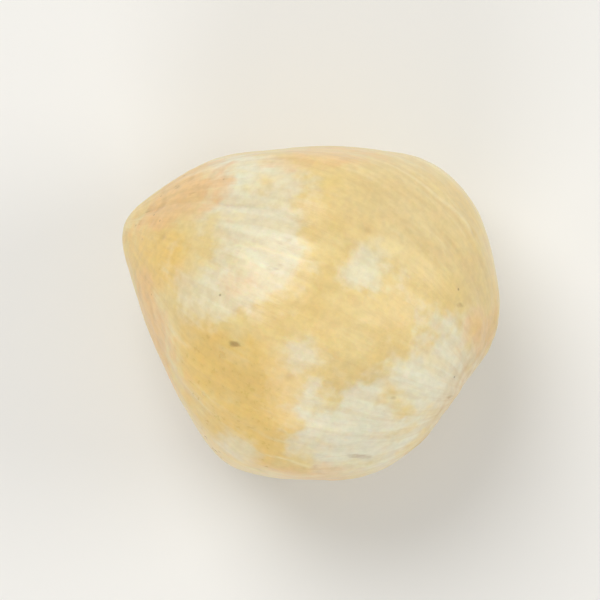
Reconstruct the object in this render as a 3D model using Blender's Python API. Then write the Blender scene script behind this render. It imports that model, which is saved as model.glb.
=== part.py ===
# A whole blanched hazelnut kernel, lying on its side on a small flat spot.
# Metres, +Z up. The tip points along +X. The origin is on the surface that the kernel
# rests on, below the middle of the kernel's bounding box.

import math
import random

import bmesh
import bpy
from mathutils import Matrix, Vector, noise

MM = 0.001

# Driving dimensions: tip to base, side to side, and height above the surface.
LENGTH = 14.6 * MM
WIDTH = 13.7 * MM
HEIGHT = 12.8 * MM

# The form is worked out in millimetres from the kernel's middle, and then fitted to the
# driving dimensions. It starts as an egg.
EGG_MIDDLE = Vector((0.9, -0.45, 0.1))
EGG_REACH = Vector((7.7, 7.1, 6.9))

# The pointed end is a blunt cone. Its spread is how much of a step out from the axis the
# cone runs back along it: more spread gives a sharper tip, and the left side is sharper.
TIP_REACH = 9.1
TIP_SPREAD = 0.63
TIP_SPREAD_LEFT = 0.15
TIP_ROUNDING = 0.03
TIP_DROOP = math.radians(4.0)

# Soft flats: bearing round from the tip (left is positive), rise above level, both in
# degrees, and distance from the middle.
SOFT_FLATS = (
    (52.0, 4.0, 6.15),      # straight side, left of the tip
    (115.0, -4.0, 6.3),     # left shoulder of the base
    (160.0, -4.0, 5.9),     # flattened base
    (-64.0, 2.0, 6.6),      # long even side, right of the tip
    (-29.0, 52.0, 7.35),    # upper face behind the tip
    (72.0, 50.0, 6.8),      # upper left face
    (138.0, 48.0, 6.9),     # upper face above the left shoulder
    (-166.0, 36.0, 7.25),   # upper face above the base
    (-110.0, 60.0, 7.25),   # crown of the right side
    (25.0, -48.0, 7.2),     # underside behind the tip
    (110.0, -52.0, 6.8),    # underside on the left
    (-100.0, -48.0, 7.2),   # underside on the right
    (0.0, -90.0, 6.6),      # belly
)
BLEND = 13.0                # higher gives crisper edges where egg, cone and flats meet

# Low ribs that run from the tip to the base.
RIB_COUNT = 13
RIB_RISE = (0.03, 0.1)
RIB_HALF_WIDTH = (0.07, 0.13)
RIB_SWAY = 0.12
RIB_SEED = 7

# The groove where the two grown-together halves meet, deepest behind the tip.
GROOVE_TURN = math.radians(118.0)
GROOVE_DEPTH = 0.16
GROOVE_HALF_WIDTH = 0.11

# The blunt nub at the tip, and the puckered dish at the base.
NUB_RISE = 0.1
NUB_HALF_ANGLE = math.radians(9.0)
DISH_DEPTH = 0.16
DISH_HALF_ANGLE = math.radians(20.0)
PUCKER_COUNT = 9
PUCKER_RISE = 0.05
PUCKER_FROM_TIP = math.radians(153.0)
PUCKER_HALF_ANGLE = math.radians(15.0)

# Uneven lumps: (waves across the kernel, rise).
LUMPS = ((1.7, 0.2), (3.6, 0.07))
LUMP_SHIFT = Vector((3.1, 7.4, 1.9))

# How far below the middle the surface lies, and the shortest step along the flat spot's rim.
REST_DEPTH = 6.25
REST_RIM_STEP = 0.16

# Squares along each edge of the cube that the surface grid starts from.
GRID = 30

CREAM = (0.80, 0.64, 0.34, 1.0)
WAXY_ROUGHNESS = 0.38


def clear_scene():
    for thing in list(bpy.data.objects):
        bpy.data.objects.remove(thing)


def bump(distance, half_width):
    return math.exp(-(distance / half_width) ** 2)


def turn_between(first, second):
    return math.remainder(first - second, math.tau)


def direction_of(bearing, rise):
    level = math.cos(math.radians(rise))
    return Vector((
        level * math.cos(math.radians(bearing)),
        level * math.sin(math.radians(bearing)),
        math.sin(math.radians(rise)),
    ))


def egg_radius(way):
    # Where a ray from the kernel's middle meets the egg, whose own middle is to one side.
    slope = Vector(way[i] / EGG_REACH[i] for i in range(3))
    start = Vector(EGG_MIDDLE[i] / EGG_REACH[i] for i in range(3))
    along = slope.dot(start)
    inside = along * along - slope.length_squared * (start.length_squared - 1.0)
    return (along + math.sqrt(inside)) / slope.length_squared


def cone_share(way):
    # One over the distance at which a ray meets the cone of the tip.
    off_axis = math.sqrt(way.y ** 2 + way.z ** 2 + TIP_ROUNDING ** 2)
    spread = TIP_SPREAD + TIP_SPREAD_LEFT * way.y
    return max(0.0, way.x + spread * off_axis) / TIP_REACH


def body_radius(way, tip_way, flats):
    total = egg_radius(way) ** -BLEND
    total += cone_share(tip_way) ** BLEND
    for normal, distance in flats:
        total += (max(0.0, way.dot(normal)) / distance) ** BLEND
    return total ** (-1.0 / BLEND)


def make_ribs():
    draw = random.Random(RIB_SEED)
    ribs = []
    for i in range(RIB_COUNT):
        place = math.tau * (i + draw.uniform(-0.3, 0.3)) / RIB_COUNT
        rise = draw.uniform(*RIB_RISE)
        half_width = draw.uniform(*RIB_HALF_WIDTH)
        sway = draw.uniform(-RIB_SWAY, RIB_SWAY)
        ribs.append((place, rise, half_width, sway))
    return ribs


def rib_height(turn, from_tip, ribs):
    height = 0.0
    for place, rise, half_width, sway in ribs:
        line = place + sway * math.sin(2.0 * from_tip)
        height += rise * bump(turn_between(turn, line), half_width)
    return height * math.sin(from_tip) ** 1.5


def groove_depth(turn, from_tip):
    near_tip = math.sin(from_tip) * math.cos(from_tip / 2.0) ** 2
    sides = (GROOVE_TURN, GROOVE_TURN + math.pi)
    return GROOVE_DEPTH * near_tip * sum(
        bump(turn_between(turn, side), GROOVE_HALF_WIDTH) for side in sides
    )


def tip_height(from_tip):
    return NUB_RISE * math.exp(-(from_tip / NUB_HALF_ANGLE) ** 4)


def base_height(turn, from_tip):
    dish = -DISH_DEPTH * bump(math.pi - from_tip, DISH_HALF_ANGLE)
    folds = math.cos(PUCKER_COUNT * turn + 1.5 * math.sin(2.0 * turn))
    pucker = PUCKER_RISE * folds * bump(from_tip - PUCKER_FROM_TIP, PUCKER_HALF_ANGLE)
    return dish + pucker


def lump_height(way):
    return sum(rise * noise.noise(way * waves + LUMP_SHIFT) for waves, rise in LUMPS)


def kernel_radius(way, flats, ribs, to_tip):
    tip_way = to_tip @ way
    from_tip = math.acos(max(-1.0, min(1.0, tip_way.x)))
    turn = math.atan2(tip_way.z, tip_way.y)
    radius = body_radius(way, tip_way, flats)
    radius += rib_height(turn, from_tip, ribs) - groove_depth(turn, from_tip)
    radius += tip_height(from_tip) + base_height(turn, from_tip)
    return radius + lump_height(way)


def round_grid(bm, squares):
    # A cube's grid, evened out and blown up to a ball of directions.
    bmesh.ops.create_cube(bm, size=2.0)
    bmesh.ops.subdivide_edges(bm, edges=bm.edges[:], cuts=squares - 1, use_grid_fill=True)
    for vert in bm.verts:
        vert.co = Vector(math.tan(c * math.pi / 4.0) for c in vert.co).normalized()


def shape_kernel(bm):
    flats = [(direction_of(bearing, rise), distance) for bearing, rise, distance in SOFT_FLATS]
    ribs = make_ribs()
    to_tip = Matrix.Rotation(-TIP_DROOP, 3, "Y")
    for vert in bm.verts:
        vert.co = vert.co * kernel_radius(vert.co, flats, ribs, to_tip)


def cut_rest_spot(bm):
    bmesh.ops.bisect_plane(
        bm,
        geom=bm.verts[:] + bm.edges[:] + bm.faces[:],
        plane_co=(0.0, 0.0, -REST_DEPTH),
        plane_no=(0.0, 0.0, 1.0),
        clear_inner=True,
    )
    rim = [vert for vert in bm.verts if vert.is_boundary]
    bmesh.ops.remove_doubles(bm, verts=rim, dist=REST_RIM_STEP)
    rim_edges = [edge for edge in bm.edges if edge.is_boundary]
    bmesh.ops.holes_fill(bm, edges=rim_edges, sides=0)
    bmesh.ops.recalc_face_normals(bm, faces=bm.faces[:])


def fit_to_size(bm):
    lows = Vector(min(vert.co[i] for vert in bm.verts) for i in range(3))
    highs = Vector(max(vert.co[i] for vert in bm.verts) for i in range(3))
    size = highs - lows
    scale = Vector((LENGTH / size.x, WIDTH / size.y, HEIGHT / size.z))
    foot = Vector(((lows.x + highs.x) / 2.0, (lows.y + highs.y) / 2.0, lows.z))
    for vert in bm.verts:
        vert.co = (vert.co - foot) * scale


def waxy_cream():
    material = bpy.data.materials.new("waxy_cream")
    material.use_nodes = True
    shader = material.node_tree.nodes["Principled BSDF"]
    shader.inputs["Base Color"].default_value = CREAM
    shader.inputs["Roughness"].default_value = WAXY_ROUGHNESS
    shader.inputs["Metallic"].default_value = 0.0
    material.diffuse_color = CREAM
    return material


def make_kernel():
    bm = bmesh.new()
    round_grid(bm, GRID)
    shape_kernel(bm)
    cut_rest_spot(bm)
    fit_to_size(bm)
    mesh = bpy.data.meshes.new("kernel")
    bm.to_mesh(mesh)
    bm.free()
    mesh.shade_smooth()
    mesh.materials.append(waxy_cream())
    kernel = bpy.data.objects.new("kernel", mesh)
    bpy.context.scene.collection.objects.link(kernel)
    return kernel


clear_scene()
make_kernel()
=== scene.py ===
import math
import random

import bmesh
import bpy
import numpy as np
from mathutils import Euler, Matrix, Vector, noise


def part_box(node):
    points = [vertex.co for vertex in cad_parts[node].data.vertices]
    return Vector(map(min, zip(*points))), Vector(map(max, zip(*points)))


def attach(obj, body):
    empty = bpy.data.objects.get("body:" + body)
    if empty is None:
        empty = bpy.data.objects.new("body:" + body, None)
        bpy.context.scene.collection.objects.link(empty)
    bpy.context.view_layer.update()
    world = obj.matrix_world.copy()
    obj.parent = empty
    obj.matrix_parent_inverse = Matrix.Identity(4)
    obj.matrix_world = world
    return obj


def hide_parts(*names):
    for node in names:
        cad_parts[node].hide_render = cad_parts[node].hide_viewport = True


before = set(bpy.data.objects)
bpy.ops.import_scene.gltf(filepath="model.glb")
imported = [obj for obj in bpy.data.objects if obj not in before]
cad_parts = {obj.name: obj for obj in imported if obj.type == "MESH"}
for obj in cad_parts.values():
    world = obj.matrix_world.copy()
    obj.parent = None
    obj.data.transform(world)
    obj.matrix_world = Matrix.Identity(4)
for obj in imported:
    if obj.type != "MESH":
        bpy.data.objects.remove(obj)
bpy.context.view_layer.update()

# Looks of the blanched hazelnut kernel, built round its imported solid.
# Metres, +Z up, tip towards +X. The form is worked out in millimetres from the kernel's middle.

mm = 0.001
solidLow, solidHigh = (np.array(corner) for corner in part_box("kernel"))

# The main form is the solid's own: an egg, a blunt cone at the tip, soft flats, ribs,
# the groove between the two grown-together halves, and the dish at the base.
kernelForm = {
    "eggMiddle": (0.9, -0.45, 0.1),
    "eggReach": (7.7, 7.1, 6.9),
    "tipReach": 9.1,
    "tipSpread": 0.63,
    "tipSpreadLeft": 0.15,
    "tipRounding": 0.03,
    "tipDroop": 4.0,
    "softFlats": (           # bearing from the tip, rise above level, distance from the middle
        (52.0, 4.0, 6.15),
        (115.0, -4.0, 6.3),
        (160.0, -4.0, 5.9),
        (-64.0, 2.0, 6.6),
        (-29.0, 52.0, 7.35),
        (72.0, 50.0, 6.8),
        (138.0, 48.0, 6.9),
        (-166.0, 36.0, 7.25),
        (-110.0, 60.0, 7.25),
        (25.0, -48.0, 7.2),
        (110.0, -52.0, 6.8),
        (-100.0, -48.0, 7.2),
        (0.0, -90.0, 6.6),
    ),
    "blend": 13.0,           # higher gives crisper edges where egg, cone and flats meet
    "ribCount": 13,
    "ribRise": (0.03, 0.1),
    "ribHalfWidth": (0.07, 0.13),
    "ribSway": 0.12,
    "ribSeed": 7,
    "grooveTurn": 118.0,
    "grooveDepth": 0.16,
    "grooveHalfWidth": 0.11,
    "nubRise": 0.1,
    "nubHalfAngle": 9.0,
    "dishDepth": 0.16,
    "dishHalfAngle": 20.0,
    "puckerCount": 9,
    "puckerRise": 0.05,
    "puckerFromTip": 153.0,
    "puckerHalfAngle": 15.0,
    "lumps": ((1.7, 0.2), (3.6, 0.07)),      # waves across the kernel, rise
    "lumpShift": (3.1, 7.4, 1.9),
    "restDepth": 6.25,
    "meanRadius": 6.7,
    "squares": 122,          # grid squares along each edge of the cube that the mesh starts from
}


def bump(distance, halfWidth):
    return np.exp(-(distance / halfWidth) ** 2)


def smoothStep(low, high, values):
    t = np.clip((values - low) / (high - low), 0.0, 1.0)
    return t * t * (3.0 - 2.0 * t)


def turnBetween(first, second):
    return np.remainder(first - second + math.pi, math.tau) - math.pi


def wayOf(bearing, rise):
    level = math.cos(math.radians(rise))
    return np.array((
        level * math.cos(math.radians(bearing)),
        level * math.sin(math.radians(bearing)),
        math.sin(math.radians(rise)),
    ))


def noiseAt(points):
    return np.array([noise.noise(Vector(point)) for point in points.tolist()])


def eggRadius(ways):
    # Where a ray from the kernel's middle meets the egg, whose own middle is to one side.
    reach = np.array(kernelForm["eggReach"])
    slope = ways / reach
    start = np.array(kernelForm["eggMiddle"]) / reach
    along = slope @ start
    lengthSquared = (slope ** 2).sum(axis=1)
    inside = along ** 2 - lengthSquared * (start @ start - 1.0)
    return (along + np.sqrt(inside)) / lengthSquared


def coneShare(tipWays):
    # One over the distance at which a ray meets the cone of the tip.
    x, y, z = tipWays.T
    offAxis = np.sqrt(y ** 2 + z ** 2 + kernelForm["tipRounding"] ** 2)
    spread = kernelForm["tipSpread"] + kernelForm["tipSpreadLeft"] * y
    return np.maximum(0.0, x + spread * offAxis) / kernelForm["tipReach"]


def bodyRadius(ways, tipWays):
    blend = kernelForm["blend"]
    total = eggRadius(ways) ** -blend + coneShare(tipWays) ** blend
    for bearing, rise, distance in kernelForm["softFlats"]:
        total += (np.maximum(0.0, ways @ wayOf(bearing, rise)) / distance) ** blend
    return total ** (-1.0 / blend)


def ribHeight(turn, fromTip):
    draw = random.Random(kernelForm["ribSeed"])
    height = np.zeros_like(turn)
    for i in range(kernelForm["ribCount"]):
        place = math.tau * (i + draw.uniform(-0.3, 0.3)) / kernelForm["ribCount"]
        rise = draw.uniform(*kernelForm["ribRise"])
        halfWidth = draw.uniform(*kernelForm["ribHalfWidth"])
        sway = draw.uniform(-kernelForm["ribSway"], kernelForm["ribSway"])
        line = place + sway * np.sin(2.0 * fromTip)
        height += rise * bump(turnBetween(turn, line), halfWidth)
    return height * np.sin(fromTip) ** 1.5


def grooveShape(turn, halfWidth):
    first = math.radians(kernelForm["grooveTurn"])
    sides = (first, first + math.pi)
    return sum(bump(turnBetween(turn, side), halfWidth) for side in sides)


def grooveDepth(turn, fromTip):
    nearTip = np.sin(fromTip) * np.cos(fromTip / 2.0) ** 2
    return kernelForm["grooveDepth"] * nearTip * grooveShape(turn, kernelForm["grooveHalfWidth"])


def endHeight(turn, fromTip):
    nub = np.exp(-(fromTip / math.radians(kernelForm["nubHalfAngle"])) ** 4)
    dish = bump(math.pi - fromTip, math.radians(kernelForm["dishHalfAngle"]))
    folds = np.cos(kernelForm["puckerCount"] * turn + 1.5 * np.sin(2.0 * turn))
    ring = bump(
        fromTip - math.radians(kernelForm["puckerFromTip"]),
        math.radians(kernelForm["puckerHalfAngle"]),
    )
    height = kernelForm["nubRise"] * nub - kernelForm["dishDepth"] * dish
    return height + kernelForm["puckerRise"] * folds * ring


def lumpHeight(ways):
    shift = np.array(kernelForm["lumpShift"])
    return sum(rise * noiseAt(ways * waves + shift) for waves, rise in kernelForm["lumps"])


def mainRadius(ways, tipWays, turn, fromTip):
    radius = bodyRadius(ways, tipWays)
    radius += ribHeight(turn, fromTip) - grooveDepth(turn, fromTip)
    return radius + endHeight(turn, fromTip) + lumpHeight(ways)


# Plain unevenness: its waves across the kernel, and a shift that keeps each one apart.
unevenPlans = {
    "upperEdge": (3.0, 30.0),
    "patchBends": (5.0, 40.0),
    "patchTeeth": (12.0, 50.0),
    "patchFray": (27.0, 60.0),
    "streakPlaces": (1.9, 11.0),
    "veinPlaces": (2.2, 80.0),
    "lineSway": (4.0, 70.0),
    "skin": (26.0, 0.0),
    "seamSway": (4.0, 3.0),
    "seamBreaks": (5.0, 0.0),
    "tipGrain": (15.0, 2.0),
    "tipFineGrain": (31.0, 8.0),
    "scarEdge": (5.0, 20.0),
    "scarGrain": (17.0, 6.0),
    "wrinkleBends": (6.0, 9.0),
    "wrinkleDrift": (2.5, 14.0),
    "wrinkleRise": (3.5, 19.0),
}

# Unevenness drawn out from the tip to the base: lines round the kernel, waves along it, shift.
drawnOutPlans = {
    "ridge": (3.6, 0.9, 33.0),
    "streak": (11.0, 1.3, 0.0),
    "fineStreak": (25.3, 2.99, 5.0),
    "vein": (6.0, 1.1, 17.0),
}

# Drawn-out noise is turned by this, so that its own grid never lines up with the kernel.
grainTurn = Euler((0.5, 0.7, 0.3))


def uneven(ways, name):
    waves, shift = unevenPlans[name]
    return noiseAt(ways * waves + shift)


def grainPlaces(turn, fromTip, lines, waves):
    return np.stack((np.cos(turn) * lines, np.sin(turn) * lines, fromTip * waves), axis=1)


def drawnOut(turn, fromTip, name):
    lines, waves, shift = drawnOutPlans[name]
    places = grainPlaces(turn, fromTip, lines, waves) @ np.array(grainTurn.to_matrix()).T
    return noiseAt(places + shift)


# Patches of colour on the upper side, as seen from above. In millimetres from the kernel's
# middle, tip towards +X: place, half length, half width; then turn in degrees, strength.
upperPatches = {
    "honey": (
        (5.6, 0.8, 1.2, 1.3, 10.0, 1.0),
        (1.6, 3.9, 2.2, 1.8, -5.0, 0.85),
        (-0.2, 5.0, 2.3, 1.8, 25.0, 0.85),
    ),
    # pale: dry bloom whose colour also holds a painted highlight
    "paleBloomAndHighlight": (
        (2.8, -1.9, 2.1, 2.4, 25.0, 0.8),
        (2.9, 1.0, 1.6, 1.1, 25.0, 0.7),
        (4.1, -3.5, 1.5, 1.2, 25.0, 0.9),
        (-1.6, -2.3, 1.1, 0.9, 25.0, 0.75),
        (-5.9, 0.2, 2.0, 1.6, 75.0, 1.0),
        (-3.9, 3.5, 2.1, 1.8, 45.0, 1.0),
        (-0.1, 5.95, 0.85, 0.45, -10.0, 0.65),
        (-0.9, 1.7, 0.75, 0.6, 25.0, 0.65),
    ),
    # rosy: tint, and along the rims painted warm bounce light
    "rosyAndBounceLight": (
        (5.9, -1.7, 1.9, 0.95, 55.0, 1.0),
        (4.6, 3.3, 0.6, 2.2, 47.0, 0.8),
        (1.7, -5.3, 2.2, 0.6, 25.0, 0.6),
        (2.4, 0.5, 0.7, 0.4, 25.0, 0.42),
        (-3.2, 5.9, 2.2, 0.6, 25.0, 0.65),
        (-6.6, -1.8, 0.6, 0.8, 5.0, 0.7),
    ),
    "tan": (
        (-2.0, -5.0, 2.8, 1.8, 0.0, 0.8),
        (-5.6, -3.6, 0.8, 1.6, 25.0, 0.6),
    ),
    "fleck": (
        (1.5, 2.5, 0.3, 0.16, 25.0, 0.85),
        (6.7, -0.6, 0.22, 0.09, 55.0, 0.6),
        (6.0, -1.9, 0.16, 0.1, 25.0, 0.5),
        (5.4, -1.9, 0.28, 0.09, 45.0, 0.55),
        (6.8, -0.1, 0.16, 0.09, 80.0, 0.5),
        (2.9, -0.7, 0.22, 0.13, 85.0, 0.4),
        (1.4, -0.7, 0.29, 0.11, 35.0, 0.45),
        (1.7, -1.6, 0.2, 0.11, -25.0, 0.4),
        (-5.5, -2.4, 0.18, 0.13, 25.0, 0.6),
        (-6.7, 0.9, 0.16, 0.11, 25.0, 0.6),
        (-4.7, 1.8, 0.16, 0.11, 25.0, 0.5),
        (-4.5, 4.4, 0.6, 0.13, 17.0, 0.55),
    ),
}

# Patches on the sides and underside, drawn at random: how many, half length and half width
# in millimetres, strength.
lowerPatches = {
    "honey": (9, (1.2, 2.6), (0.9, 1.9), (0.5, 0.9)),
    # pale: dry bloom, partly a painted highlight
    "paleBloomAndHighlight": (12, (1.0, 2.2), (0.9, 1.8), (0.35, 0.8)),
    # rosy: tint, partly painted warm bounce light
    "rosyAndBounceLight": (8, (0.8, 2.0), (0.6, 1.3), (0.3, 0.65)),
    "tan": (7, (1.2, 2.8), (0.8, 1.6), (0.4, 0.8)),
    "fleck": (16, (0.1, 0.3), (0.08, 0.14), (0.3, 0.8)),
}

patchEdges = {
    "corner": 2.6,               # 2 makes patches elliptical, higher comes nearer to a rectangle
    "softness": {"honey": 0.6, "paleBloomAndHighlight": 0.65, "rosyAndBounceLight": 0.75, "tan": 0.6, "fleck": 0.6},
    "raggedness": {"honey": 0.5, "paleBloomAndHighlight": 0.65, "rosyAndBounceLight": 0.8, "tan": 0.5, "fleck": 0.7},
    "wobble": {"patchBends": 0.9, "patchTeeth": 0.6, "patchFray": 0.35},     # coarse to fine
    "upperFrom": (-0.12, 0.1),   # heights between which the upper patches take over, 1 at the top
    "upperSway": 0.12,
    "lowerRises": (-75.0, 8.0),  # lowest and highest lower patch, in degrees
    "lowerSlant": 0.5,           # how far lower patches turn from the way to the tip, in radians
    "lowerSeed": 5,
    "sameSide": 0.3,             # a lower patch shows only where the surface faces this much its way
    "outOfReach": 9.0,           # reach that leaves a place outside every patch
}


def patchReach(u, v):
    # 1 on the patch's edge, less inside.
    corner = patchEdges["corner"]
    return (np.abs(u) ** corner + np.abs(v) ** corner) ** (1.0 / corner)


def upperReach(points, place):
    x, y, halfLength, halfWidth, turned = place
    slant = math.radians(turned)
    u = (points[:, 0] - x) * math.cos(slant) + (points[:, 1] - y) * math.sin(slant)
    v = (points[:, 1] - y) * math.cos(slant) - (points[:, 0] - x) * math.sin(slant)
    return patchReach(u / halfLength, v / halfWidth)


def lowerReach(ways, centre, heading, halfLength, halfWidth):
    u = kernelForm["meanRadius"] * (ways @ heading)
    v = kernelForm["meanRadius"] * (ways @ np.cross(centre, heading))
    reach = patchReach(u / halfLength, v / halfWidth)
    return np.where(ways @ centre > patchEdges["sameSide"], reach, patchEdges["outOfReach"])


def headingTo(centre, slant):
    # A level step on the surface at centre, turned by slant from the way to the tip.
    towardsTip = np.array((1.0, 0.0, 0.0)) - centre * centre[0]
    towardsTip /= np.linalg.norm(towardsTip)
    return towardsTip * math.cos(slant) + np.cross(centre, towardsTip) * math.sin(slant)


def upperMask(kind, points, soft, ragged):
    mask = np.zeros(len(points))
    for *place, strength in upperPatches[kind]:
        reach = upperReach(points, place) + ragged
        mask = np.maximum(mask, strength * smoothStep(1.0 + soft, 1.0 - soft, reach))
    return mask


def lowerMask(kind, ways, soft, ragged, draw):
    mask = np.zeros(len(ways))
    count, lengths, widths, strengths = lowerPatches[kind]
    for i in range(count):
        centre = wayOf(draw.uniform(-180.0, 180.0), draw.uniform(*patchEdges["lowerRises"]))
        heading = headingTo(centre, draw.gauss(0.0, patchEdges["lowerSlant"]))
        reach = lowerReach(ways, centre, heading, draw.uniform(*lengths), draw.uniform(*widths))
        strength = draw.uniform(*strengths)
        mask = np.maximum(mask, strength * smoothStep(1.0 + soft, 1.0 - soft, reach + ragged))
    return mask


def patchMasks(ways, points):
    draw = random.Random(patchEdges["lowerSeed"])
    height = ways[:, 2] + patchEdges["upperSway"] * uneven(ways, "upperEdge")
    upper = smoothStep(*patchEdges["upperFrom"], height)
    wobble = sum(rise * uneven(ways, name) for name, rise in patchEdges["wobble"].items())
    masks = {}
    for kind in upperPatches:
        soft = patchEdges["softness"][kind]
        ragged = patchEdges["raggedness"][kind] * wobble
        above = upperMask(kind, points, soft, ragged)
        below = lowerMask(kind, ways, soft, ragged, draw)
        masks[kind] = above * upper + below * (1.0 - upper)
    return masks


# Fine relief that only this mesh has. Rises, depths, lengths and reaches in millimetres.
# A pair whose name ends in From is the start and the full value of a soft step.
kernelRelief = {
    "ridgeRise": 0.05,
    "streakRise": 0.022,
    "streakShares": (0.65, 0.35),        # coarse and fine
    "streakHeight": (0.35, 0.9),         # everywhere, and added where streaks are strong
    "streakContrast": 0.4,
    "streakPlacesFrom": (-0.35, 0.35),
    "veinRise": 0.02,
    "veinHalfWidth": 0.14,               # in steps of the noise, not millimetres
    "veinPlacesFrom": (0.0, 0.35),
    "veinsInTan": 0.35,
    "lineSway": 0.05,
    "skinRise": 0.006,
    "dents": (34, (0.5, 1.6), (0.015, 0.05)),        # how many, reach, depth
    "pits": (30, (0.1, 0.2), (0.015, 0.045)),
    # pitSeen: painted shade in the pits, weakest and strongest
    "pitSeen": (0.0, 0.7),
    "scratches": (16, (0.08, 0.12), (0.008, 0.02)),
    "scratchLength": (0.6, 2.2),
    "scratchSlant": 0.4,                 # radians from the way to the tip
    "scratchBend": (-1.5, 1.5),
    "worn": 0.018,                       # how far the pale patches, worn bloom whose colour also holds a painted highlight, are below the rest
    "wornFrom": (0.35, 0.65),
    "seamDepth": 0.035,
    "seamHalfWidth": 0.1,
    "seamSpread": 0.12,                  # sine of the angle from the tip at which it stops spreading
    "seamSway": 0.05,
    "seamFrom": (1.9, 0.6),              # radians back from the tip
    "seamBreaksFrom": (-0.3, 0.4),
    "seamLeast": 0.3,
    # seamSeen: darker seam line with painted shade in its groove
    "seamSeen": 0.25,
    "tipRise": 0.021,
    "tipShare": 0.7,
    "tipFrom": (math.radians(48.0), 0.2),            # radians back from the tip
    "tipRosyFrom": (1.1, 0.5),           # the same, where the tip is rosy
    "tipFineShare": 0.6,
    "tipHollowFrom": (0.15, 0.7),
    # tipHollowSeen: painted shade in the low spots of the tip's grain
    "tipHollowSeen": 0.4,
    "scarRise": 0.018,
    "scarReach": 30.0,                   # degrees in from the base
    "scarFrom": (1.2, 0.7),              # shares of the reach
    "scarSway": 0.1,
    "scarTint": (0.75, 0.5),             # everywhere in the scar, and added by its grain
    "wrinkles": 27,
    "wrinkleBends": 3.0,
    "wrinkleDrift": 4.0,
    "wrinkleRing": 0.8,                  # where they are highest, as a share of the reach
    "wrinkleSpread": 0.2,
    "wrinkleRise": 0.6,                  # before its unevenness, which makes some higher
    "seed": 21,
}


def randomWay(draw):
    return wayOf(draw.uniform(-180.0, 180.0), math.degrees(math.asin(draw.uniform(-1.0, 1.0))))


def hollows(ways, draw, kind, seen=(1.0, 1.0)):
    # Depths of round hollows, and how strongly the painted shade in them shows.
    count, reaches, depths = kernelRelief[kind]
    depth = np.zeros(len(ways))
    shown = np.zeros(len(ways))
    for i in range(count):
        reach = draw.uniform(*reaches) / kernelForm["meanRadius"]
        shape = np.exp(-2.0 * (1.0 - ways @ randomWay(draw)) / reach ** 2)
        depth += draw.uniform(*depths) * shape
        shown += draw.uniform(*seen) * shape
    return depth, np.minimum(shown, 1.0)


def scratchShapes(ways, draw):
    count, reaches, depths = kernelRelief["scratches"]
    depth = np.zeros(len(ways))
    for i in range(count):
        centre = randomWay(draw)
        heading = headingTo(centre, draw.gauss(0.0, kernelRelief["scratchSlant"]))
        halfLength = draw.uniform(*kernelRelief["scratchLength"]) / 2.0 / kernelForm["meanRadius"]
        reach = draw.uniform(*reaches) / kernelForm["meanRadius"]
        along = ways @ heading
        bend = draw.uniform(*kernelRelief["scratchBend"]) * along ** 2
        line = bump(ways @ np.cross(centre, heading) + bend, reach)
        line *= np.exp(-(along / halfLength) ** 4)
        depth += draw.uniform(*depths) * line * (ways @ centre > 0.5)
    return depth


def streaksAndVeins(ways, turn, fromTip, masks):
    # What the stripped skin leaves: long ridges, soft streaks, and thin raised veins in places.
    swayed = turn + kernelRelief["lineSway"] * uneven(ways, "lineSway")
    coarseShare, fineShare = kernelRelief["streakShares"]
    streaks = coarseShare * drawnOut(turn, fromTip, "streak")
    streaks += fineShare * drawnOut(turn, fromTip, "fineStreak")
    strength = smoothStep(*kernelRelief["streakPlacesFrom"], uneven(ways, "streakPlaces"))
    masks["streak"] = np.clip(0.5 + streaks * (kernelRelief["streakContrast"] + strength), 0.0, 1.0)

    lines = np.abs(drawnOut(swayed, fromTip, "vein"))
    places = uneven(ways, "veinPlaces") + kernelRelief["veinsInTan"] * masks["tan"]
    veins = smoothStep(kernelRelief["veinHalfWidth"], 0.0, lines)
    veins *= smoothStep(*kernelRelief["veinPlacesFrom"], places)
    masks["vein"] = veins * np.sin(fromTip)

    faint, added = kernelRelief["streakHeight"]
    height = kernelRelief["ridgeRise"] * drawnOut(swayed, fromTip, "ridge")
    height += kernelRelief["streakRise"] * streaks * (faint + added * strength)
    return height * np.sin(fromTip) + kernelRelief["veinRise"] * masks["vein"]


def seamShape(ways, turn, fromTip):
    # The seam keeps its width in millimetres, so its angle spreads towards the tip.
    halfAngle = kernelRelief["seamHalfWidth"] / kernelForm["meanRadius"]
    halfAngle = halfAngle / np.maximum(np.sin(fromTip), kernelRelief["seamSpread"])
    swayed = turn + kernelRelief["seamSway"] * uneven(ways, "seamSway")
    whole = smoothStep(*kernelRelief["seamBreaksFrom"], uneven(ways, "seamBreaks"))
    least = kernelRelief["seamLeast"]
    seam = grooveShape(swayed, halfAngle) * (least + (1.0 - least) * whole)
    return seam * smoothStep(*kernelRelief["seamFrom"], fromTip)


def roughTip(ways, fromTip, masks):
    tip = kernelRelief["tipShare"] * smoothStep(*kernelRelief["tipFrom"], fromTip)
    tip = np.maximum(tip, masks["rosyAndBounceLight"] * smoothStep(*kernelRelief["tipRosyFrom"], fromTip))
    grain = uneven(ways, "tipGrain") + kernelRelief["tipFineShare"] * uneven(ways, "tipFineGrain")
    masks["tip"] = tip
    # low spots of the tip's grain, darkened later as painted shade
    masks["tipHollow"] = tip * smoothStep(*kernelRelief["tipHollowFrom"], -grain)
    return kernelRelief["tipRise"] * tip * grain


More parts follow.
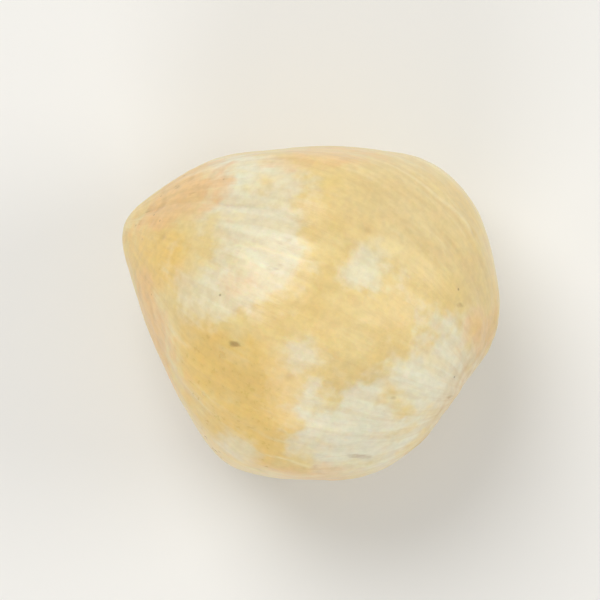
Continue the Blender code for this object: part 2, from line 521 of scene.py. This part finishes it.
def baseScar(ways, turn, fromTip, masks):
    # The wrinkled scar at the base, where the kernel hung in its shell.
    reach = math.radians(kernelRelief["scarReach"])
    fromBase = math.pi - fromTip
    swayed = fromBase + kernelRelief["scarSway"] * uneven(ways, "scarEdge")
    start, full = kernelRelief["scarFrom"]
    scar = smoothStep(start * reach, full * reach, swayed)
    grain = uneven(ways, "scarGrain")
    even, added = kernelRelief["scarTint"]
    masks["scar"] = np.clip(scar * (even + added * grain), 0.0, 1.0)

    bends = kernelRelief["wrinkleBends"] * uneven(ways, "wrinkleBends")
    bends += kernelRelief["wrinkleDrift"] * uneven(ways, "wrinkleDrift")
    wrinkles = np.cos(kernelRelief["wrinkles"] * turn + bends)
    ring = bump(fromBase - kernelRelief["wrinkleRing"] * reach, kernelRelief["wrinkleSpread"])
    wrinkles *= ring * (kernelRelief["wrinkleRise"] + uneven(ways, "wrinkleRise"))
    return kernelRelief["scarRise"] * (wrinkles + grain * scar)


def fineRelief(ways, turn, fromTip, masks):
    draw = random.Random(kernelRelief["seed"])
    height = streaksAndVeins(ways, turn, fromTip, masks)
    height += roughTip(ways, fromTip, masks)
    height += baseScar(ways, turn, fromTip, masks)
    height += kernelRelief["skinRise"] * uneven(ways, "skin")
    dents = hollows(ways, draw, "dents")[0]
    pits, pitShade = hollows(ways, draw, "pits", kernelRelief["pitSeen"])
    scratches = scratchShapes(ways, draw)
    deepestScratch = kernelRelief["scratches"][2][1]
    seam = seamShape(ways, turn, fromTip)
    # Pits and the low spots of the rough tip darken as painted shade; along the seam the darker
    # colour is a seam line with painted shade.
    seamAndHollowShade = pitShade + kernelRelief["seamSeen"] * seam
    seamAndHollowShade += kernelRelief["tipHollowSeen"] * masks.pop("tipHollow")
    masks["seamAndHollowShade"] = np.clip(seamAndHollowShade, 0.0, 1.0)
    masks["scuff"] = np.clip(scratches / deepestScratch, 0.0, 1.0)
    height -= dents + pits + scratches + kernelRelief["seamDepth"] * seam
    return height - kernelRelief["worn"] * smoothStep(*kernelRelief["wornFrom"], masks["paleBloomAndHighlight"])


def roundGrid(squares):
    # A cube's grid, evened out and blown up to a ball of ways out from the middle.
    bm = bmesh.new()
    bmesh.ops.create_cube(bm, size=2.0)
    bmesh.ops.subdivide_edges(bm, edges=bm.edges[:], cuts=squares - 1, use_grid_fill=True)
    for vert in bm.verts:
        vert.co = Vector(math.tan(c * math.pi / 4.0) for c in vert.co).normalized()
    mesh = bpy.data.meshes.new("blanched_kernel")
    bm.to_mesh(mesh)
    bm.free()
    return mesh


def waysOf(mesh):
    coordinates = np.empty(len(mesh.vertices) * 3)
    mesh.vertices.foreach_get("co", coordinates)
    return coordinates.reshape(-1, 3)


def tipTurned(ways):
    droop = math.radians(kernelForm["tipDroop"])
    x, y, z = ways.T
    return np.stack((
        x * math.cos(droop) - z * math.sin(droop),
        y,
        x * math.sin(droop) + z * math.cos(droop),
    ), axis=1)


def fitToSolid(points):
    low, high = points.min(axis=0), points.max(axis=0)
    share = (points - low) / (high - low)
    return solidLow + share * (solidHigh - solidLow)


def keepMasks(mesh, masks, turn, fromTip):
    # The material reads these from the mesh.
    for name, values in masks.items():
        layer = mesh.attributes.new(name, "FLOAT", "POINT")
        layer.data.foreach_set("value", values)
    grain = mesh.attributes.new("grainPlace", "FLOAT_VECTOR", "POINT")
    places = grainPlaces(turn, fromTip, kernelForm["meanRadius"], kernelForm["meanRadius"])
    grain.data.foreach_set("vector", places.ravel())


def makeKernel():
    mesh = roundGrid(kernelForm["squares"])
    ways = waysOf(mesh)
    tipWays = tipTurned(ways)
    fromTip = np.arccos(np.clip(tipWays[:, 0], -1.0, 1.0))
    turn = np.arctan2(tipWays[:, 2], tipWays[:, 1])

    radius = mainRadius(ways, tipWays, turn, fromTip)
    masks = patchMasks(ways, fitToSolid(ways * radius[:, None]) / mm)
    radius += fineRelief(ways, turn, fromTip, masks)
    points = ways * radius[:, None]
    points[:, 2] = np.maximum(points[:, 2], -kernelForm["restDepth"])
    mesh.vertices.foreach_set("co", fitToSolid(points).ravel())
    keepMasks(mesh, masks, turn, fromTip)

    mesh.shade_smooth()
    kernel = bpy.data.objects.new("blanched_kernel", mesh)
    bpy.context.scene.collection.objects.link(kernel)
    print("kernel shaped:", len(mesh.vertices), "points")
    return kernel


# Colours are screen values, 0 to 255. Sizes, heights and depths are in millimetres.
# A pair whose name ends in From is the start and the full value of a soft step.
kernelFinish = {
    "tints": {
        "cream": (238, 221, 168),
        "butter": (232, 208, 142),
        "tan": (226, 204, 150),
        "honey": (238, 203, 118),
        # pale bloom, partly a painted highlight
        "paleBloomAndHighlight": (235, 234, 214),
        # rosy tint, partly painted warm bounce light
        "rosyAndBounceLight": (238, 195, 137),
        "streak": (212, 180, 118),
        "vein": (244, 230, 184),
        "scar": (208, 172, 116),
        # painted shade in pits and tip hollows, and the darker seam line
        "seamAndHollowShade": (184, 146, 88),
        "scuff": (244, 234, 208),
        "fleck": (168, 136, 84),
        "speck": (116, 78, 42),
    },
    "strengths": {
        "tan": 0.7,
        "honey": 0.9,
        "paleBloomAndHighlight": 0.8,
        "rosyAndBounceLight": 0.75,
        "streak": 0.17,
        "vein": 0.5,
        "scar": 0.6,
        "seamAndHollowShade": 0.55,
        "scuff": 0.35,
        "fleck": 0.7,
        "speck": 0.5,
    },
    "patchFrom": {                       # mask values at which a patch starts and is full
        "tan": (0.1, 0.9),
        "honey": (0.05, 1.0),
        "paleBloomAndHighlight": (0.05, 1.0),
        "rosyAndBounceLight": (0.1, 0.9),
        "fleck": (0.25, 0.9),
    },
    "fray": {"middling": 0.3, "grain": 0.4, "fine": 0.3},
    "fleckFray": 2.0,                    # times as much as a pale patch
    "broadSize": 3.6,
    "middlingSize": 1.1,
    "fineSize": 0.32,
    "grainSize": 0.16,
    "grainDrawnOut": 7.0,
    "butterFrom": (0.36, 0.64),
    "blushFrom": (0.52, 0.75),
    "blush": 0.2,
    "streakFrom": (0.6, 0.3),
    "grainFrom": (0.4, 0.68),
    "grainInStreaks": 0.6,
    "specks": (1.3, 0.07, 0.3),          # spacing, reach, share of places that have one
    "tipSpecks": (0.45, 0.06, 0.5),
    "speckCore": 0.4,                    # share of a speck's reach with its full colour
    "shade": (0.3, 0.7, 0.95, 1.04),     # start and end of the fine mottling, darkest, lightest
    "roughness": 0.38,
    "roughnessAdded": {"paleBloomAndHighlight": 0.12, "honey": -0.08, "scar": 0.2, "tip": 0.15, "fine": 0.3},
    "bumpHeight": 0.014,
    "bumpStrength": 0.9,
    "grainInBump": 0.9,
    "coat": 0.28,
    "coatRoughness": 0.27,
    "glowDepth": 1.1,
    "glowShare": 0.7,
    "glowSpread": (1.0, 0.62, 0.3),      # red, green and blue light's share of the depth
    "bending": 1.46,
    "sheen": 0.08,
    "sheenRoughness": 0.4,
    "sheenTint": (255, 230, 204),
}


def fromScreen(colour):
    return [((c / 255.0 + 0.055) / 1.055) ** 2.4 for c in colour] + [1.0]


def addNode(tree, kind, inputs, **settings):
    made = tree.nodes.new("ShaderNode" + kind)
    for name, value in settings.items():
        setattr(made, name, value)
    for socket, value in inputs.items():
        if isinstance(value, bpy.types.NodeSocket):
            tree.links.new(value, made.inputs[socket])
        else:
            made.inputs[socket].default_value = value
    return made


def blendColours(tree, factor, first, second):
    inputs = {0: factor, 6: first, 7: second}
    return addNode(tree, "Mix", inputs, data_type="RGBA").outputs[2]


def calculate(tree, operation, first, second=0.0, third=0.0):
    inputs = {0: first, 1: second, 2: third}
    return addNode(tree, "Math", inputs, operation=operation).outputs[0]


def stretch(tree, value, low, high, toLow=0.0, toHigh=1.0):
    inputs = {"Value": value, "From Min": low, "From Max": high, "To Min": toLow, "To Max": toHigh}
    return addNode(tree, "MapRange", inputs, interpolation_type="SMOOTHSTEP").outputs["Result"]


def surfaceNoise(tree, place, scale, detail=3.0, roughness=0.55):
    inputs = {"Vector": place, "Scale": scale, "Detail": detail, "Roughness": roughness}
    return addNode(tree, "TexNoise", inputs).outputs["Fac"]


def readMask(tree, name):
    return addNode(tree, "Attribute", {}, attribute_name=name).outputs["Fac"]


def grainNoise(tree):
    # Noise whose marks are drawn out towards the tip and the base.
    place = addNode(tree, "Attribute", {}, attribute_name="grainPlace").outputs["Vector"]
    waves = 1.0 / kernelFinish["grainSize"]
    inputs = {0: place, 1: (waves, waves, waves / kernelFinish["grainDrawnOut"])}
    scaled = addNode(tree, "VectorMath", inputs, operation="MULTIPLY").outputs[0]
    inputs = {"Vector": scaled, "Rotation": tuple(grainTurn)}
    turned = addNode(tree, "VectorRotate", inputs, rotation_type="EULER_XYZ").outputs[0]
    return surfaceNoise(tree, turned, 1.0)


def makeNoises(tree, place):
    broadScale = 1.0 / (kernelFinish["broadSize"] * mm)
    middlingScale = 1.0 / (kernelFinish["middlingSize"] * mm)
    fineScale = 1.0 / (kernelFinish["fineSize"] * mm)
    fine = surfaceNoise(tree, place, fineScale, detail=4.0, roughness=0.6)
    return {
        "broad": surfaceNoise(tree, place, broadScale),
        "middling": surfaceNoise(tree, place, middlingScale, detail=4.0),
        "fine": fine,
        "fineAboutZero": calculate(tree, "SUBTRACT", fine, 0.5),
        "grain": grainNoise(tree),
    }


def speckShape(tree, place, spacing, reach, share):
    # Tiny round specks: one to a cell of the pattern at most, in a share of the cells.
    cells = addNode(tree, "TexVoronoi", {"Vector": place, "Scale": 1.0 / (spacing * mm)})
    core = reach * kernelFinish["speckCore"]
    near = stretch(tree, cells.outputs["Distance"], reach / spacing, core / spacing)
    parts = addNode(tree, "SeparateColor", {0: cells.outputs["Color"]})
    chosen = calculate(tree, "LESS_THAN", parts.outputs[0], share)
    return calculate(tree, "MULTIPLY", near, chosen)


def patchShapes(tree, noises):
    # The patches from the mesh, with edges frayed by noises that are 0.5 on average.
    fray = kernelFinish["fray"]
    middle = (fray["middling"] + fray["grain"]) / 2.0
    ragged = calculate(tree, "MULTIPLY_ADD", noises["middling"], fray["middling"], -middle)
    ragged = calculate(tree, "MULTIPLY_ADD", noises["grain"], fray["grain"], ragged)
    finer = calculate(tree, "MULTIPLY_ADD", noises["fineAboutZero"], fray["fine"], ragged)
    torn = calculate(tree, "MULTIPLY", finer, kernelFinish["fleckFray"])
    edges = {"tan": ragged, "honey": ragged, "paleBloomAndHighlight": finer, "rosyAndBounceLight": ragged, "fleck": torn}
    shapes = {}
    for name, edge in edges.items():
        mask = calculate(tree, "ADD", readMask(tree, name), edge)
        shapes[name] = stretch(tree, mask, *kernelFinish["patchFrom"][name])
    blush = stretch(tree, noises["middling"], *kernelFinish["blushFrom"])
    shapes["rosyAndBounceLight"] = calculate(tree, "MULTIPLY_ADD", blush, kernelFinish["blush"], shapes["rosyAndBounceLight"])
    return shapes


def markShapes(tree, place, noises):
    grain = stretch(tree, noises["grain"], *kernelFinish["grainFrom"])
    streak = stretch(tree, readMask(tree, "streak"), *kernelFinish["streakFrom"])
    streak = calculate(tree, "MULTIPLY_ADD", grain, kernelFinish["grainInStreaks"], streak)
    specks = speckShape(tree, place, *kernelFinish["specks"])
    tipSpecks = speckShape(tree, place, *kernelFinish["tipSpecks"])
    shapes = {name: readMask(tree, name) for name in ("vein", "scar", "seamAndHollowShade", "scuff")}
    shapes["streak"] = streak
    shapes["speck"] = calculate(tree, "MULTIPLY_ADD", tipSpecks, readMask(tree, "tip"), specks)
    return shapes


def kernelColour(tree, noises, shapes):
    # Each colour is laid over the ones before it, in the order of the strengths.
    tints = {name: fromScreen(value) for name, value in kernelFinish["tints"].items()}
    butter = stretch(tree, noises["broad"], *kernelFinish["butterFrom"])
    colour = blendColours(tree, butter, tints["cream"], tints["butter"])
    for name, strength in kernelFinish["strengths"].items():
        factor = calculate(tree, "MULTIPLY", shapes[name], strength)
        colour = blendColours(tree, factor, colour, tints[name])
    shade = stretch(tree, noises["fine"], *kernelFinish["shade"])
    return addNode(tree, "VectorMath", {0: colour, 3: shade}, operation="SCALE").outputs[0]


def kernelRoughness(tree, noises, shapes):
    sources = {
        "paleBloomAndHighlight": shapes["paleBloomAndHighlight"],
        "honey": shapes["honey"],
        "scar": shapes["scar"],
        "tip": readMask(tree, "tip"),
        "fine": noises["fineAboutZero"],
    }
    rough = kernelFinish["roughness"]
    for name, added in kernelFinish["roughnessAdded"].items():
        rough = calculate(tree, "MULTIPLY_ADD", sources[name], added, rough)
    return rough


def kernelMaterial():
    material = bpy.data.materials.new("waxy_kernel")
    material.use_nodes = True
    tree = material.node_tree
    shader = tree.nodes["Principled BSDF"]
    place = tree.nodes.new("ShaderNodeTexCoord").outputs["Object"]
    noises = makeNoises(tree, place)
    shapes = patchShapes(tree, noises) | markShapes(tree, place, noises)
    tree.links.new(kernelColour(tree, noises, shapes), shader.inputs["Base Color"])
    tree.links.new(kernelRoughness(tree, noises, shapes), shader.inputs["Roughness"])

    grainShare = kernelFinish["grainInBump"]
    relief = calculate(tree, "MULTIPLY_ADD", noises["grain"], grainShare, noises["fine"])
    inputs = {
        "Height": relief,
        "Distance": kernelFinish["bumpHeight"] * mm,
        "Strength": kernelFinish["bumpStrength"],
    }
    raised = addNode(tree, "Bump", inputs)
    tree.links.new(raised.outputs["Normal"], shader.inputs["Normal"])

    shader.inputs["IOR"].default_value = kernelFinish["bending"]
    shader.inputs["Subsurface Weight"].default_value = kernelFinish["glowShare"]
    shader.inputs["Subsurface Radius"].default_value = kernelFinish["glowSpread"]
    shader.inputs["Subsurface Scale"].default_value = kernelFinish["glowDepth"] * mm
    shader.inputs["Coat Weight"].default_value = kernelFinish["coat"]
    shader.inputs["Coat Roughness"].default_value = kernelFinish["coatRoughness"]
    shader.inputs["Sheen Weight"].default_value = kernelFinish["sheen"]
    shader.inputs["Sheen Roughness"].default_value = kernelFinish["sheenRoughness"]
    shader.inputs["Sheen Tint"].default_value = fromScreen(kernelFinish["sheenTint"])
    return material


floorLook = {
    "halfWidth": 400.0,
    "colour": (238, 237, 234),
    "roughness": 0.7,
}


def makeFloor():
    half = floorLook["halfWidth"] * mm
    corners = [(-half, -half, 0.0), (half, -half, 0.0), (half, half, 0.0), (-half, half, 0.0)]
    mesh = bpy.data.meshes.new("floor")
    mesh.from_pydata(corners, [], [(0, 1, 2, 3)])
    material = bpy.data.materials.new("pale_floor")
    material.use_nodes = True
    shader = material.node_tree.nodes["Principled BSDF"]
    shader.inputs["Base Color"].default_value = fromScreen(floorLook["colour"])
    shader.inputs["Roughness"].default_value = floorLook["roughness"]
    mesh.materials.append(material)
    floor = bpy.data.objects.new("floor", mesh)
    bpy.context.scene.collection.objects.link(floor)
    print("floor laid")


# The photograph looks straight down, and the tip points up and to the left.
cameraPlan = {
    "height": 260.0,
    "lens": 400.0,
    "clipStart": 10.0,
    "tipTurn": 154.7,
}


def fromPicture(right, up, height):
    # A place in millimetres, given as the picture shows it, in the kernel's own directions.
    turned = -math.radians(cameraPlan["tipTurn"])
    x = right * math.cos(turned) - up * math.sin(turned)
    y = right * math.sin(turned) + up * math.cos(turned)
    return Vector((x, y, height))


def makeCamera():
    lens = bpy.data.cameras.new("camera")
    lens.lens = cameraPlan["lens"]
    lens.clip_start = cameraPlan["clipStart"] * mm
    camera = bpy.data.objects.new("camera", lens)
    camera.location = (0.0, 0.0, cameraPlan["height"] * mm)
    camera.rotation_euler = (0.0, 0.0, -math.radians(cameraPlan["tipTurn"]))
    bpy.context.scene.collection.objects.link(camera)
    bpy.context.scene.camera = camera
    print("camera placed")


# Softboxes: place to the right, upwards and above in the picture, width, all in millimetres;
# power in watts; colour.
studioLight = {
    "softboxes": (
        ("key_softbox", (-90.0, 150.0, 250.0), 190.0, 0.47, (255, 254, 251)),
        ("side_softbox", (210.0, 30.0, 140.0), 140.0, 0.17, (255, 253, 248)),
        ("fill_softbox", (-40.0, -210.0, 130.0), 150.0, 0.16, (252, 253, 255)),
    ),
    "air": 0.41,
    "airColour": (250, 250, 250),
}


def makeLight():
    for name, where, width, power, colour in studioLight["softboxes"]:
        place = fromPicture(*where)
        lamp = bpy.data.lights.new(name, "AREA")
        lamp.shape = "DISK"
        lamp.size = width * mm
        lamp.energy = power
        lamp.color = fromScreen(colour)[:3]
        holder = bpy.data.objects.new(name, lamp)
        holder.location = place * mm
        holder.rotation_euler = place.to_track_quat("Z", "Y").to_euler()
        bpy.context.scene.collection.objects.link(holder)
    world = bpy.data.worlds.new("soft_air")
    world.use_nodes = True
    background = world.node_tree.nodes["Background"]
    background.inputs["Color"].default_value = fromScreen(studioLight["airColour"])
    background.inputs["Strength"].default_value = studioLight["air"]
    bpy.context.scene.world = world
    bpy.context.scene.view_settings.view_transform = "Standard"
    print("lights placed")


kernel = makeKernel()
kernel.data.materials.append(kernelMaterial())
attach(kernel, "root")
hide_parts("kernel")
makeFloor()
makeLight()
makeCamera()
